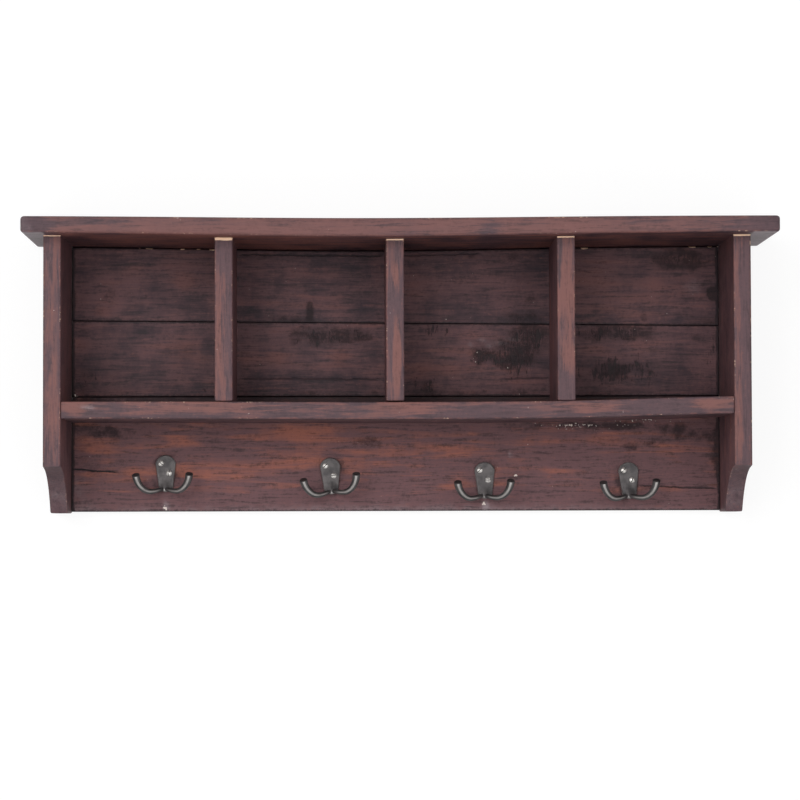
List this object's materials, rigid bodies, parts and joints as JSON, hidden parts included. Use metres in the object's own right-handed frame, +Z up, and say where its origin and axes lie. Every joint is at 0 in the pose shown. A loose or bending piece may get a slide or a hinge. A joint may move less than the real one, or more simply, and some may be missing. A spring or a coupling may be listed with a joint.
{
  "type": "wall coat rack",
  "caption": "Rustic wall coat rack in dark stained boards: an overhanging top, open cubbies between cove-cut side panels, and a board of cast double hooks below.",
  "frame": {"origin": "on the wall plane, midway between the two keyhole hanger holes in the rear edges of the side panels", "axes": "+X along the rack to the viewer's right, +Y into the wall, +Z up; the rack stands out of the wall towards -Y"},
  "size_m": [0.914, 0.184, 0.356],
  "materials": {
    "stained_wood": "dark mahogany stain, hand rubbed, worn through along the edges",
    "hook_iron": "dark pewter, rubbed bright on the high spots",
    "screw_steel": "plain bright steel",
    "hanger_steel": "zinc plated",
    "brad_steel": "bare wire"
  },
  "bodies": {
    "root": {"top_board": "stained_wood", "side_panel_left": "stained_wood", "side_panel_right": "stained_wood", "shelf_board": "stained_wood", "divider_left": "stained_wood", "divider_centre": "stained_wood", "divider_right": "stained_wood", "back_plank_upper": "stained_wood", "back_plank_middle": "stained_wood", "hook_board": "stained_wood", "hook_1": "hook_iron", "hook_2": "hook_iron", "hook_3": "hook_iron", "hook_4": "hook_iron", "hook_screws": "screw_steel", "hanger_left": "hanger_steel", "hanger_right": "hanger_steel", "hanger_screws": "hanger_steel", "top_brads": "brad_steel", "shelf_brads": "brad_steel", "divider_brads": "brad_steel", "back_brads": "brad_steel"}
  },
  "joints": []
}
